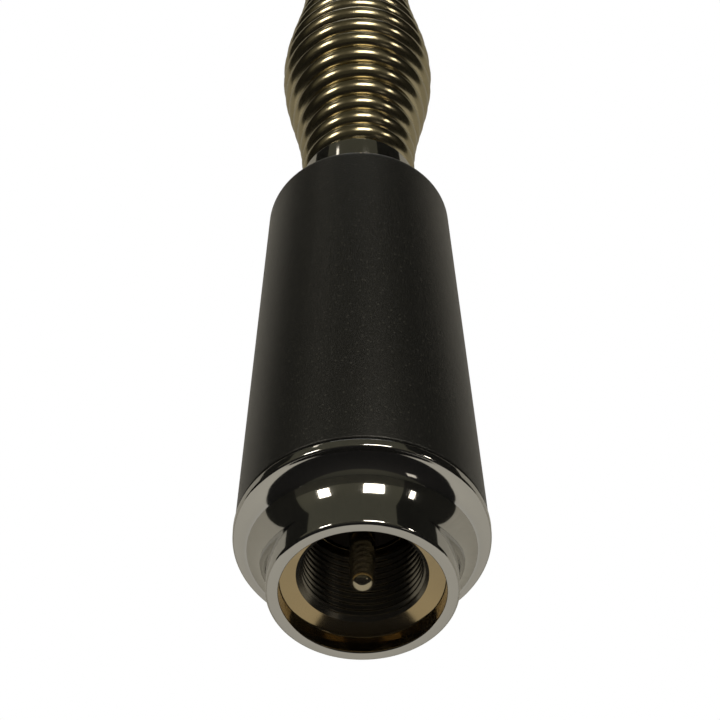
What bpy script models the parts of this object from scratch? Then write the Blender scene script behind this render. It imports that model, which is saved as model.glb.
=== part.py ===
"""CB antenna: threaded coaxial plug, loading coil in a moulded sleeve, barrel spring and steel whip.

The antenna stands on the rim of its plug with +Z up along the whip. The origin is the centre of that rim.
Lengths are metres. Every piece that touches another keeps SEAT_GAP to it.
"""

import math

import bmesh
import bpy

MM = 0.001

# Clearances
SEAT_GAP = 0.3 * MM
SLEEVE_FIT = 0.4 * MM
CUT_MARGIN = 0.4 * MM
MERGE = 0.01 * MM

# Facets round each kind of turned piece, and along each kind of rounding
LARGE_STEPS = 40
MEDIUM_STEPS = 24
SMALL_STEPS = 20
CUTTER_STEPS = 16
ROUNDING_STEPS = 3
SHOULDER_STEPS = 4
BEND_STEPS = 4
COVE_STEPS = 6
SEAL_STEPS = 6
TIP_STEPS = 7
BRAID_STEPS = 8
SHARP_ANGLE = 50

# Coaxial plug, one turned piece: cup, cove, flange and spigot
THREAD_BORE_RADIUS = 7.5 * MM
THREAD_DEPTH = 14.0 * MM
THREAD_CHAMFER = 0.75 * MM
LEDGE_WIDTH = 2.9 * MM
LEDGE_DEPTH = 2.6 * MM
LEDGE_RISE = 0.55 * MM
CUP_WALL = 1.6 * MM
CUP_STRAIGHT_HEIGHT = 3.6 * MM
RIM_ROUNDING = 0.45 * MM
FLANGE_FACE_HEIGHT = 9.0 * MM
FLANGE_RADIUS = 16.3 * MM
FLANGE_THICKNESS = 1.5 * MM
FLANGE_ROUNDING = 0.3 * MM
LIP_WIDTH = 1.2 * MM
LIP_THICKNESS = 1.2 * MM
CHAMBER_STEP = 0.8 * MM
SPIGOT_LIP = 2.2 * MM

# Centre pin, its insulator and the ring that holds them
PIN_RADIUS = 1.65 * MM
PIN_RECESS = 1.0 * MM
PIN_TIP_ROUNDING = 1.5 * MM
PIN_COLLAR_WIDTH = 1.4 * MM
PIN_COLLAR_THICKNESS = 1.5 * MM
PIN_TAIL = 4.4 * MM
SOLDER_CUP_DEPTH = 3.5 * MM
SOLDER_CUP_WALL = 0.7 * MM
INSULATOR_THICKNESS = 3.5 * MM
CLIP_THICKNESS = 1.1 * MM
CLIP_GROOVE_DEPTH = 0.8 * MM
CLIP_WIDTH = 3.0 * MM

# Seal between spigot and sleeve
SEAL_WIRE_RADIUS = 0.6 * MM
SEAL_GROOVE_DEPTH = 1.4 * MM

# Moulded sleeve
SLEEVE_STEP = 0.2 * MM
SLEEVE_LENGTH = 66.2 * MM
SLEEVE_TOP_RADIUS = 13.0 * MM
SLEEVE_SKIRT_WALL = 3.3 * MM
SLEEVE_WALL = 2.6 * MM
SLEEVE_CROWN = 4.5 * MM
SLEEVE_SHOULDER = 1.7 * MM
SLEEVE_EDGE = 0.3 * MM

# Spring base: stud, collar and boss in one turned piece, with the fastenings under the crown
STUD_RADIUS = 3.9 * MM
STUD_TAIL = 3.5 * MM
COLLAR_HEIGHT = 8.2 * MM
COLLAR_CHAMFER = 0.4 * MM
GASKET_THICKNESS = 0.8 * MM
WASHER_WIDTH = 3.0 * MM
WASHER_THICKNESS = 1.0 * MM
TAG_THICKNESS = 0.8 * MM
TAG_TAB_WIDTH = 4.0 * MM
NUT_THICKNESS = 4.8 * MM
NUT_ACROSS_FLATS = 13.0 * MM

# Loading coil on its former
FORMER_CORE_RADIUS = 7.6 * MM
FORMER_FLANGE_THICKNESS = 2.0 * MM
FORMER_HEAD_THICKNESS = 1.5 * MM
FORMER_HEAD_MARGIN = 0.5 * MM
FORMER_SPIGOT = 1.3 * MM
LEAD_ROOM = 4.0 * MM
COIL_WIRE_RADIUS = 0.8 * MM
COIL_TURN_GAP = 0.7 * MM
COIL_END_MARGIN = 1.2 * MM
COIL_POINTS_PER_TURN = 12
LEAD_BEND = 1.4 * MM

# Barrel spring, close wound, with ground ends
SPRING_WIRE_RADIUS = 1.65 * MM
SPRING_TURN_GAP = 0.2 * MM
SPRING_TURNS = 16
SPRING_END_RADIUS = 8.45 * MM
SPRING_BELLY_RADIUS = 11.75 * MM
SPRING_BELLY_POWER = 1.4
SPRING_POINTS_PER_TURN = 14
BOSS_LENGTH = 8.4 * MM
BOSS_CHAMFER = 0.6 * MM
BOSS_FIT = 0.45 * MM

# Copper braid inside the spring
BRAID_RADIUS = 1.6 * MM
BRAID_POCKET = 5.0 * MM

# Whip holder with two grub screws
HOLDER_COLLAR = 6.8 * MM
HOLDER_TAPER = 8.0 * MM
HOLDER_NECK_RADIUS = 5.0 * MM
HOLDER_NECK = 20.4 * MM
HOLDER_CHAMFER = 0.6 * MM
SCREW_RADIUS = 1.8 * MM
SCREW_RECESS = 0.4 * MM
SCREW_SOCKET_RADIUS = 1.0 * MM
SCREW_SOCKET_DEPTH = 1.4 * MM
SCREW_SPACING = 5.6 * MM
SCREW_EDGE = 5.0 * MM

# Whip and tip
WHIP_BASE_RADIUS = 1.3 * MM
WHIP_TOP_RADIUS = 0.8 * MM
WHIP_LENGTH = 314.0 * MM
WHIP_TRAVEL_DOWN = 10.0 * MM
TIP_RADIUS = 2.5 * MM
TIP_LENGTH = 10.0 * MM
TIP_SOCKET = 5.0 * MM
TIP_WALL = 0.6 * MM

# Radii that follow
LEDGE_RADIUS = THREAD_BORE_RADIUS + LEDGE_WIDTH
THREAD_BOTTOM = LEDGE_DEPTH + LEDGE_RISE
CUP_RADIUS = LEDGE_RADIUS + CUP_WALL
COVE_OUTER_RADIUS = FLANGE_RADIUS - FLANGE_ROUNDING
LIP_RADIUS = THREAD_BORE_RADIUS - LIP_WIDTH
CHAMBER_RADIUS = THREAD_BORE_RADIUS + CHAMBER_STEP
CLIP_OUTER_RADIUS = CHAMBER_RADIUS + CLIP_GROOVE_DEPTH - SEAT_GAP
SLEEVE_BOTTOM_RADIUS = FLANGE_RADIUS - SLEEVE_STEP
SLEEVE_BORE_RADIUS = SLEEVE_BOTTOM_RADIUS - SLEEVE_SKIRT_WALL
SPIGOT_RADIUS = SLEEVE_BORE_RADIUS - SLEEVE_FIT
SEAL_FLOOR_RADIUS = SPIGOT_RADIUS - SEAL_GROOVE_DEPTH
STUD_HOLE_RADIUS = STUD_RADIUS + SEAT_GAP
COIL_RADIUS = FORMER_CORE_RADIUS + SEAT_GAP + COIL_WIRE_RADIUS
FORMER_HEAD_RADIUS = COIL_RADIUS + COIL_WIRE_RADIUS + FORMER_HEAD_MARGIN
BOSS_RADIUS = SPRING_END_RADIUS - 2 * SPRING_WIRE_RADIUS - BOSS_FIT
BRAID_HOLE_RADIUS = BRAID_RADIUS + SEAT_GAP
WHIP_BORE_RADIUS = WHIP_BASE_RADIUS + SEAT_GAP

# Heights that follow, from the rim of the plug upwards
FLANGE_TOP = FLANGE_FACE_HEIGHT + FLANGE_THICKNESS
LIP_TOP = THREAD_DEPTH + LIP_THICKNESS
INSULATOR_BOTTOM = LIP_TOP + SEAT_GAP
INSULATOR_TOP = INSULATOR_BOTTOM + INSULATOR_THICKNESS
CLIP_BOTTOM = INSULATOR_TOP + SEAT_GAP
CLIP_TOP = CLIP_BOTTOM + CLIP_THICKNESS
SPIGOT_TOP = CLIP_TOP + SEAT_GAP + SPIGOT_LIP
SEAL_HEIGHT = (FLANGE_TOP + SPIGOT_TOP) / 2
PIN_TOP = CLIP_BOTTOM + PIN_COLLAR_THICKNESS + PIN_TAIL
SLEEVE_BOTTOM = FLANGE_TOP + SEAT_GAP
SLEEVE_TOP = SLEEVE_BOTTOM + SLEEVE_LENGTH
CROWN_UNDERSIDE = SLEEVE_TOP - SLEEVE_CROWN
WASHER_BOTTOM = CROWN_UNDERSIDE - SEAT_GAP - WASHER_THICKNESS
TAG_BOTTOM = WASHER_BOTTOM - SEAT_GAP - TAG_THICKNESS
NUT_BOTTOM = TAG_BOTTOM - SEAT_GAP - NUT_THICKNESS
FORMER_BOTTOM = SPIGOT_TOP + SEAT_GAP
FORMER_TOP = NUT_BOTTOM - LEAD_ROOM
STUD_BOTTOM = FORMER_TOP - STUD_TAIL
GASKET_BOTTOM = SLEEVE_TOP + SEAT_GAP
COLLAR_BOTTOM = GASKET_BOTTOM + GASKET_THICKNESS + SEAT_GAP
COLLAR_TOP = COLLAR_BOTTOM + COLLAR_HEIGHT
SPRING_BOTTOM = COLLAR_TOP + SEAT_GAP
SPRING_PITCH = 2 * SPRING_WIRE_RADIUS + SPRING_TURN_GAP
SPRING_HEIGHT = SPRING_TURNS * SPRING_PITCH
SPRING_TOP = SPRING_BOTTOM + SPRING_HEIGHT
HOLDER_BOTTOM = SPRING_TOP + SEAT_GAP
HOLDER_SHOULDER = HOLDER_BOTTOM + HOLDER_COLLAR
HOLDER_TOP = HOLDER_SHOULDER + HOLDER_TAPER + HOLDER_NECK
WHIP_BOTTOM = HOLDER_SHOULDER + SEAT_GAP + WHIP_TRAVEL_DOWN
WHIP_TOP = WHIP_BOTTOM + WHIP_LENGTH
BRAID_BOTTOM = COLLAR_TOP + BOSS_LENGTH - BRAID_POCKET + SEAT_GAP
BRAID_TOP = HOLDER_BOTTOM - BOSS_LENGTH + BRAID_POCKET - SEAT_GAP

# Joint axes: the spring's lower half bends about X, its upper half about Y, and the whip slides in its holder
LOWER_BEND_HEIGHT = SPRING_BOTTOM + SPRING_HEIGHT / 4
UPPER_BEND_HEIGHT = SPRING_BOTTOM + SPRING_HEIGHT * 3 / 4

# Winding of the loading coil, whole turns between the former's flanges
COIL_BOTTOM = FORMER_BOTTOM + FORMER_FLANGE_THICKNESS + COIL_WIRE_RADIUS + COIL_END_MARGIN
COIL_PITCH = 2 * COIL_WIRE_RADIUS + COIL_TURN_GAP
COIL_ROOM = FORMER_TOP - FORMER_HEAD_THICKNESS - COIL_WIRE_RADIUS - COIL_END_MARGIN - COIL_BOTTOM
COIL_TURNS = max(1, int(COIL_ROOM / COIL_PITCH))
COIL_TOP = COIL_BOTTOM + COIL_TURNS * COIL_PITCH

PARTS_COLLECTION = "cb_antenna"
CUTTERS_COLLECTION = "cutters"

# Finish of each material: colour, roughness, metallic
FINISHES = {
    "chrome": ((0.72, 0.70, 0.66), 0.08, 1.0),
    "nickel_brass": ((0.70, 0.64, 0.48), 0.22, 1.0),
    "black_sleeve": ((0.012, 0.012, 0.011), 0.48, 0.0),
    "insulator_brown": ((0.03, 0.021, 0.016), 0.45, 0.0),
    "former_plastic": ((0.75, 0.74, 0.68), 0.45, 0.0),
    "enamelled_copper": ((0.50, 0.16, 0.06), 0.28, 1.0),
    "tinned_braid": ((0.55, 0.52, 0.47), 0.4, 1.0),
    "zinc_steel": ((0.52, 0.53, 0.54), 0.35, 1.0),
    "spring_steel": ((0.36, 0.32, 0.25), 0.22, 1.0),
    "stainless": ((0.60, 0.60, 0.59), 0.25, 1.0),
    "black_rubber": ((0.02, 0.02, 0.02), 0.8, 0.0),
    "black_cap": ((0.015, 0.015, 0.015), 0.4, 0.0),
}


def clear_scene():
    """Removes every object, so that the script can run again in an open file."""
    for old in list(bpy.data.objects):
        bpy.data.objects.remove(old, do_unlink=True)


def collection(name):
    """Returns the collection of that name, linked to the scene."""
    found = bpy.data.collections.get(name) or bpy.data.collections.new(name)
    if found.name not in bpy.context.scene.collection.children:
        bpy.context.scene.collection.children.link(found)
    return found


def material(name):
    """Returns a Principled material from the table of finishes."""
    found = bpy.data.materials.get(name) or bpy.data.materials.new(name)
    found.use_nodes = True
    colour, roughness, metallic = FINISHES[name]
    shader = found.node_tree.nodes["Principled BSDF"]
    shader.inputs["Base Color"].default_value = (*colour, 1.0)
    shader.inputs["Roughness"].default_value = roughness
    shader.inputs["Metallic"].default_value = metallic
    return found


def height_of(parent):
    """Height of an empty above the rim, summed up its parents."""
    total = 0.0
    while parent is not None:
        total += parent.location.z
        parent = parent.parent
    return total


def add_empty(name, height, parent=None):
    """Adds an empty on the antenna's axis, at a height above the rim."""
    empty = bpy.data.objects.new(name, None)
    empty.empty_display_size = 10 * MM
    collection(PARTS_COLLECTION).objects.link(empty)
    empty.parent = parent
    empty.location.z = height - height_of(parent)
    return empty


def add_part(name, data, finish, parent):
    """Adds a piece whose data is drawn from its parent's own height."""
    part = bpy.data.objects.new(name, data)
    data.materials.append(material(finish))
    collection(PARTS_COLLECTION).objects.link(part)
    part.parent = parent
    return part


def arc(centre_radius, centre_height, radius, start, end, steps=ROUNDING_STEPS):
    """Points of an arc in the profile plane, from start to end in degrees."""
    points = []
    for i in range(steps + 1):
        angle = math.radians(start + (end - start) * i / steps)
        points.append((centre_radius + radius * math.cos(angle), centre_height + radius * math.sin(angle)))
    return points


def cove(inner, outer, bottom, top, steps):
    """Points of a concave quarter ellipse, from a flat face at the top in to an upright wall."""
    points = []
    for i in range(1, steps + 1):
        angle = math.radians(90 * i / steps)
        radius = outer - (outer - inner) * math.sin(angle)
        points.append((radius, bottom + (top - bottom) * math.cos(angle)))
    return points


def turned(name, profile, finish, parent, steps=MEDIUM_STEPS):
    """Revolves a profile of (radius, height) points that runs down its outer side.

    A profile that starts and ends on the axis stays open, and any other is closed into a ring.
    """
    base = height_of(parent)
    on_axis = profile[0][0] == 0.0 and profile[-1][0] == 0.0
    count = len(profile)
    edges = [(i, i + 1) for i in range(count - 1)]
    if not on_axis:
        edges.append((count - 1, 0))
    mesh = bpy.data.meshes.new(name)
    mesh.from_pydata([(radius, 0.0, height - base) for radius, height in profile], edges, [])
    part = add_part(name, mesh, finish, parent)
    screw = part.modifiers.new("turn", "SCREW")
    screw.axis = "Z"
    screw.steps = steps
    screw.render_steps = steps
    screw.use_merge_vertices = True
    screw.merge_threshold = MERGE
    screw.use_smooth_shade = True
    return part


def wire_curve(name, points, radius, parent, sides_step=2):
    """Makes a round wire along points, as a poly curve with filled caps."""
    base = height_of(parent)
    curve = bpy.data.curves.new(name, "CURVE")
    curve.dimensions = "3D"
    curve.bevel_depth = radius
    curve.bevel_resolution = sides_step
    curve.use_fill_caps = True
    spline = curve.splines.new("POLY")
    spline.points.add(len(points) - 1)
    for point, (x, y, z) in zip(spline.points, points):
        point.co = (x, y, z - base, 1.0)
    return curve


def plate(name, outlines, bottom, thickness, finish, parent):
    """Extrudes flat outlines, the first outside and the rest holes, from bottom upwards."""
    curve = bpy.data.curves.new(name, "CURVE")
    curve.dimensions = "2D"
    curve.fill_mode = "BOTH"
    curve.extrude = thickness / 2
    for outline in outlines:
        spline = curve.splines.new("POLY")
        spline.points.add(len(outline) - 1)
        spline.use_cyclic_u = True
        for point, (x, y) in zip(spline.points, outline):
            point.co = (x, y, 0.0, 1.0)
    part = add_part(name, curve, finish, parent)
    part.location.z = bottom + thickness / 2 - height_of(parent)
    return part


def polygon(radius, corners, turn=0.0):
    """Corner points of a regular polygon round the axis."""
    step = 2 * math.pi / corners
    return [(radius * math.cos(turn + i * step), radius * math.sin(turn + i * step)) for i in range(corners)]


def cylinder_cutter(name, radius, depth, location, parent, axis="Z", sides=CUTTER_STEPS):
    """Adds a closed cylinder that only cuts, centred on location, which is measured from the rim."""
    mesh = bpy.data.meshes.new(name)
    shape = bmesh.new()
    bmesh.ops.create_cone(
        shape, cap_ends=True, segments=sides, radius1=radius, radius2=radius, depth=depth
    )
    shape.to_mesh(mesh)
    shape.free()
    cutter = bpy.data.objects.new(name, mesh)
    cutter.hide_render = True
    cutter.display_type = "WIRE"
    cutter.parent = parent
    cutter.location = (location[0], location[1], location[2] - height_of(parent))
    if axis == "X":
        cutter.rotation_euler = (0.0, math.pi / 2, 0.0)
    collection(CUTTERS_COLLECTION).objects.link(cutter)
    return cutter


def cut(part, cutter):
    """Cuts a cutter out of a part."""
    boolean = part.modifiers.new(cutter.name, "BOOLEAN")
    boolean.operation = "DIFFERENCE"
    boolean.solver = "EXACT"
    boolean.object = cutter


def build_plug(root):
    """The turned plug: cup with its threaded bore, cove out to the flange, and spigot."""
    groove_half = SEAL_WIRE_RADIUS + SEAT_GAP
    clip_floor = CHAMBER_RADIUS + CLIP_GROOVE_DEPTH
    profile = [
        (CHAMBER_RADIUS, SPIGOT_TOP),
        (SPIGOT_RADIUS - COLLAR_CHAMFER, SPIGOT_TOP),
        (SPIGOT_RADIUS, SPIGOT_TOP - COLLAR_CHAMFER),
        (SPIGOT_RADIUS, SEAL_HEIGHT + groove_half),
        (SEAL_FLOOR_RADIUS, SEAL_HEIGHT + groove_half),
        (SEAL_FLOOR_RADIUS, SEAL_HEIGHT - groove_half),
        (SPIGOT_RADIUS, SEAL_HEIGHT - groove_half),
        (SPIGOT_RADIUS, FLANGE_TOP),
        (FLANGE_RADIUS - SLEEVE_EDGE, FLANGE_TOP),
        (FLANGE_RADIUS, FLANGE_TOP - SLEEVE_EDGE),
    ]
    profile += arc(COVE_OUTER_RADIUS, FLANGE_FACE_HEIGHT + FLANGE_ROUNDING, FLANGE_ROUNDING, 0, -90)
    profile += cove(CUP_RADIUS, COVE_OUTER_RADIUS, CUP_STRAIGHT_HEIGHT, FLANGE_FACE_HEIGHT, COVE_STEPS)
    profile += arc(CUP_RADIUS - RIM_ROUNDING, RIM_ROUNDING, RIM_ROUNDING, 0, -90)
    profile += [
        (LEDGE_RADIUS, 0.0),
        (LEDGE_RADIUS, LEDGE_DEPTH),
        (THREAD_BORE_RADIUS + THREAD_CHAMFER, THREAD_BOTTOM),
        (THREAD_BORE_RADIUS, THREAD_BOTTOM + THREAD_CHAMFER),
        (THREAD_BORE_RADIUS, THREAD_DEPTH),
        (LIP_RADIUS, THREAD_DEPTH),
        (LIP_RADIUS, LIP_TOP),
        (CHAMBER_RADIUS, LIP_TOP),
        (CHAMBER_RADIUS, CLIP_BOTTOM),
        (clip_floor, CLIP_BOTTOM),
        (clip_floor, CLIP_TOP + SEAT_GAP),
        (CHAMBER_RADIUS, CLIP_TOP + SEAT_GAP),
    ]
    return turned("plug_body", profile, "chrome", root, LARGE_STEPS)


def build_pin(root):
    """The centre pin, with a rounded tip, a collar on the insulator and a solder cup."""
    cup_radius = COIL_WIRE_RADIUS + SEAT_GAP
    tail_radius = cup_radius + SOLDER_CUP_WALL
    collar_radius = PIN_RADIUS + PIN_COLLAR_WIDTH
    collar_top = CLIP_BOTTOM + PIN_COLLAR_THICKNESS
    profile = [
        (0.0, PIN_TOP - SOLDER_CUP_DEPTH),
        (cup_radius, PIN_TOP - SOLDER_CUP_DEPTH),
        (cup_radius, PIN_TOP),
        (tail_radius, PIN_TOP),
        (tail_radius, collar_top),
        (collar_radius, collar_top),
        (collar_radius, CLIP_BOTTOM),
        (PIN_RADIUS, CLIP_BOTTOM),
    ]
    tip_height = PIN_RECESS + PIN_TIP_ROUNDING
    profile += arc(PIN_RADIUS - PIN_TIP_ROUNDING, tip_height, PIN_TIP_ROUNDING, 0, -90, TIP_STEPS)
    profile.append((0.0, PIN_RECESS))
    return turned("centre_pin", profile, "nickel_brass", root, SMALL_STEPS)


def build_insulator(root):
    """The insulating bush between pin and plug, with a nose through the lip."""
    body_radius = CHAMBER_RADIUS - SEAT_GAP
    nose_radius = LIP_RADIUS - SEAT_GAP
    bore_radius = PIN_RADIUS + SEAT_GAP
    profile = [
        (bore_radius, INSULATOR_TOP),
        (body_radius, INSULATOR_TOP),
        (body_radius, INSULATOR_BOTTOM),
        (nose_radius, INSULATOR_BOTTOM),
        (nose_radius, THREAD_DEPTH),
        (bore_radius, THREAD_DEPTH),
    ]
    return turned("pin_insulator", profile, "insulator_brown", root, MEDIUM_STEPS)


def build_clip(root):
    """The spring ring in the chamber's groove that keeps the insulator down."""
    bottom = CLIP_BOTTOM + SEAT_GAP / 2
    top = CLIP_TOP + SEAT_GAP / 2
    inner = CLIP_OUTER_RADIUS - CLIP_WIDTH
    profile = [(inner, top), (CLIP_OUTER_RADIUS, top), (CLIP_OUTER_RADIUS, bottom), (inner, bottom)]
    return turned("retaining_ring", profile, "zinc_steel", root, MEDIUM_STEPS)


def build_seal(root):
    """The rubber ring in the spigot's groove."""
    ring_radius = SEAL_FLOOR_RADIUS + SEAT_GAP + SEAL_WIRE_RADIUS
    ring = arc(ring_radius, SEAL_HEIGHT, SEAL_WIRE_RADIUS, 90, -270, SEAL_STEPS)[:-1]
    return turned("sleeve_seal", ring, "black_rubber", root, MEDIUM_STEPS)


def build_sleeve(root):
    """The tapered moulded sleeve over the coil, open below and crowned above."""
    slope = (SLEEVE_BOTTOM_RADIUS - SLEEVE_TOP_RADIUS) / SLEEVE_LENGTH
    shoulder_start = SLEEVE_TOP_RADIUS + slope * SLEEVE_SHOULDER
    profile = [(STUD_HOLE_RADIUS, SLEEVE_TOP)]
    shoulder_height = SLEEVE_TOP - SLEEVE_SHOULDER
    profile += arc(shoulder_start - SLEEVE_SHOULDER, shoulder_height, SLEEVE_SHOULDER, 90, 0, SHOULDER_STEPS)
    profile += [
        (SLEEVE_BOTTOM_RADIUS, SLEEVE_BOTTOM + SLEEVE_EDGE),
        (SLEEVE_BOTTOM_RADIUS - SLEEVE_EDGE, SLEEVE_BOTTOM),
        (SLEEVE_BORE_RADIUS, SLEEVE_BOTTOM),
        (SLEEVE_BORE_RADIUS, FORMER_BOTTOM + FORMER_FLANGE_THICKNESS),
        (SLEEVE_TOP_RADIUS - SLEEVE_WALL, CROWN_UNDERSIDE),
        (STUD_HOLE_RADIUS, CROWN_UNDERSIDE),
    ]
    return turned("coil_sleeve", profile, "black_sleeve", root, LARGE_STEPS)


def build_former(root):
    """The bobbin that the loading coil is wound on, notched for its two leads."""
    flange_radius = SLEEVE_BORE_RADIUS - SLEEVE_FIT
    boss_radius = CHAMBER_RADIUS - SEAT_GAP
    flange_top = FORMER_BOTTOM + FORMER_FLANGE_THICKNESS
    head_bottom = FORMER_TOP - FORMER_HEAD_THICKNESS
    profile = [
        (STUD_HOLE_RADIUS, FORMER_TOP),
        (FORMER_HEAD_RADIUS, FORMER_TOP),
        (FORMER_HEAD_RADIUS, head_bottom),
        (FORMER_CORE_RADIUS, head_bottom),
        (FORMER_CORE_RADIUS, flange_top),
        (flange_radius, flange_top),
        (flange_radius, FORMER_BOTTOM),
        (boss_radius, FORMER_BOTTOM),
        (boss_radius, FORMER_BOTTOM - FORMER_SPIGOT),
        (STUD_HOLE_RADIUS, FORMER_BOTTOM - FORMER_SPIGOT),
    ]
    former = turned("coil_former", profile, "former_plastic", root, MEDIUM_STEPS)
    hole_length = 2 * FORMER_CORE_RADIUS - STUD_HOLE_RADIUS
    hole_centre = STUD_HOLE_RADIUS / 2 + hole_length / 2
    cut(
        former,
        cylinder_cutter(
            "lower_lead_hole", 2 * COIL_WIRE_RADIUS, hole_length, (hole_centre, 0.0, COIL_BOTTOM), root, "X"
        ),
    )
    notch_height = FORMER_TOP - FORMER_HEAD_THICKNESS / 2
    cut(
        former,
        cylinder_cutter(
            "upper_lead_notch",
            2 * COIL_WIRE_RADIUS,
            2 * FORMER_HEAD_THICKNESS,
            (COIL_RADIUS, 0.0, notch_height),
            root,
        ),
    )
    return former


def build_coil(root):
    """The loading coil, one wire from the pin's cup, through the former and round it, up to the tag."""
    points = [
        (0.0, 0.0, PIN_TOP - SOLDER_CUP_DEPTH + SEAT_GAP),
        (0.0, 0.0, COIL_BOTTOM - 2 * LEAD_BEND),
    ]
    for x, height in arc(LEAD_BEND, COIL_BOTTOM - LEAD_BEND, LEAD_BEND, 180, 90, BEND_STEPS):
        points.append((x, 0.0, height))
    for x, y in arc(COIL_RADIUS - LEAD_BEND, LEAD_BEND, LEAD_BEND, -90, 0, BEND_STEPS):
        points.append((x, y, COIL_BOTTOM))
    steps = COIL_TURNS * COIL_POINTS_PER_TURN
    for i in range(1, steps + 1):
        angle = 2 * math.pi * i / COIL_POINTS_PER_TURN
        points.append(
            (
                COIL_RADIUS * math.cos(angle),
                COIL_RADIUS * math.sin(angle),
                COIL_BOTTOM + COIL_PITCH * i / COIL_POINTS_PER_TURN,
            )
        )
    points.append((COIL_RADIUS, 0.0, COIL_TOP + 2 * COIL_WIRE_RADIUS))
    points.append((COIL_RADIUS, 0.0, TAG_BOTTOM - SEAT_GAP))
    curve = wire_curve("loading_coil", points, COIL_WIRE_RADIUS, root, 1)
    return add_part("loading_coil", curve, "enamelled_copper", root)


def build_fastenings(root):
    """Nut, solder tag and washer under the sleeve's crown, and the gasket on top of it."""
    hole = polygon(STUD_HOLE_RADIUS, SMALL_STEPS)
    nut_corner = NUT_ACROSS_FLATS / 2 / math.cos(math.pi / 6)
    plate(
        "lock_nut",
        [polygon(nut_corner, 6, math.pi / 6), hole],
        NUT_BOTTOM,
        NUT_THICKNESS,
        "zinc_steel",
        root,
    )
    washer_radius = STUD_HOLE_RADIUS + WASHER_WIDTH
    tab = TAG_TAB_WIDTH / 2
    tab_angle = math.asin(tab / washer_radius)
    tab_end = COIL_RADIUS + COIL_WIRE_RADIUS
    outline = []
    for i in range(SMALL_STEPS + 1):
        angle = tab_angle + (2 * math.pi - 2 * tab_angle) * i / SMALL_STEPS
        outline.append((washer_radius * math.cos(angle), washer_radius * math.sin(angle)))
    outline += [(tab_end, -tab), (tab_end, tab)]
    plate("solder_tag", [outline, hole], TAG_BOTTOM, TAG_THICKNESS, "tinned_braid", root)
    for name, outer, bottom, thickness, finish in (
        ("crown_washer", washer_radius, WASHER_BOTTOM, WASHER_THICKNESS, "zinc_steel"),
        ("crown_gasket", SPRING_END_RADIUS - COLLAR_CHAMFER, GASKET_BOTTOM, GASKET_THICKNESS, "black_rubber"),
    ):
        top = bottom + thickness
        ring = [(STUD_HOLE_RADIUS, top), (outer, top), (outer, bottom), (STUD_HOLE_RADIUS, bottom)]
        turned(name, ring, finish, root, SMALL_STEPS)


def build_spring_base(root):
    """The turned base of the spring: stud through the crown, collar, and a boss inside the end turns."""
    boss_top = COLLAR_TOP + BOSS_LENGTH
    pocket_floor = boss_top - BRAID_POCKET
    collar = SPRING_END_RADIUS
    profile = [
        (0.0, pocket_floor),
        (BRAID_HOLE_RADIUS, pocket_floor),
        (BRAID_HOLE_RADIUS, boss_top),
        (BOSS_RADIUS - BOSS_CHAMFER, boss_top),
        (BOSS_RADIUS, boss_top - BOSS_CHAMFER),
        (BOSS_RADIUS, COLLAR_TOP),
        (collar - COLLAR_CHAMFER, COLLAR_TOP),
        (collar, COLLAR_TOP - COLLAR_CHAMFER),
        (collar, COLLAR_BOTTOM + COLLAR_CHAMFER),
        (collar - COLLAR_CHAMFER, COLLAR_BOTTOM),
        (STUD_RADIUS, COLLAR_BOTTOM),
        (STUD_RADIUS, STUD_BOTTOM + COLLAR_CHAMFER),
        (STUD_RADIUS - COLLAR_CHAMFER, STUD_BOTTOM),
        (0.0, STUD_BOTTOM),
    ]
    return turned("spring_base", profile, "chrome", root, MEDIUM_STEPS)


def spring_radius(share):
    """Outer radius of the spring at a share of its height: end turns nearly straight, belly in the middle."""
    belly = math.cos(math.pi * (share - 0.5)) ** 2
    return SPRING_END_RADIUS + (SPRING_BELLY_RADIUS - SPRING_END_RADIUS) * belly**SPRING_BELLY_POWER


def build_spring(lower_bend):
    """The barrel spring: one wire wound close, wide at the belly, with both ends ground flat."""
    steps = SPRING_TURNS * SPRING_POINTS_PER_TURN
    points = []
    for i in range(steps + 1):
        share = i / steps
        angle = 2 * math.pi * i / SPRING_POINTS_PER_TURN
        radius = spring_radius(share) - SPRING_WIRE_RADIUS
        points.append(
            (radius * math.cos(angle), radius * math.sin(angle), SPRING_BOTTOM + SPRING_HEIGHT * share)
        )
    curve = wire_curve("spring_wire", points, SPRING_WIRE_RADIUS, lower_bend)
    wound = bpy.data.objects.new("spring_wire", curve)
    wound.parent = lower_bend
    collection(CUTTERS_COLLECTION).objects.link(wound)
    bpy.context.view_layer.update()
    mesh = bpy.data.meshes.new_from_object(wound.evaluated_get(bpy.context.evaluated_depsgraph_get()))
    bpy.data.objects.remove(wound, do_unlink=True)
    base = height_of(lower_bend)
    shape = bmesh.new()
    shape.from_mesh(mesh)
    bmesh.ops.remove_doubles(shape, verts=shape.verts, dist=MERGE)
    for vertex in shape.verts:
        vertex.co.z = min(max(vertex.co.z, SPRING_BOTTOM - base), SPRING_TOP - base)
    bmesh.ops.triangulate(shape, faces=[face for face in shape.faces if len(face.verts) > 4])
    bmesh.ops.recalc_face_normals(shape, faces=shape.faces)
    shape.to_mesh(mesh)
    shape.free()
    mesh.name = "barrel_spring"
    mesh.materials.clear()
    mesh.shade_smooth()
    mesh.set_sharp_from_angle(angle=math.radians(SHARP_ANGLE))
    return add_part("barrel_spring", mesh, "spring_steel", lower_bend)


def build_braid(lower_bend):
    """The copper braid that carries the current past the spring, between the two bosses."""
    height = BRAID_TOP - BRAID_BOTTOM
    points = [(0.0, 0.0, BRAID_BOTTOM + height * i / BRAID_STEPS) for i in range(BRAID_STEPS + 1)]
    curve = wire_curve("shunt_braid", points, BRAID_RADIUS, lower_bend)
    return add_part("shunt_braid", curve, "tinned_braid", lower_bend)


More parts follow.
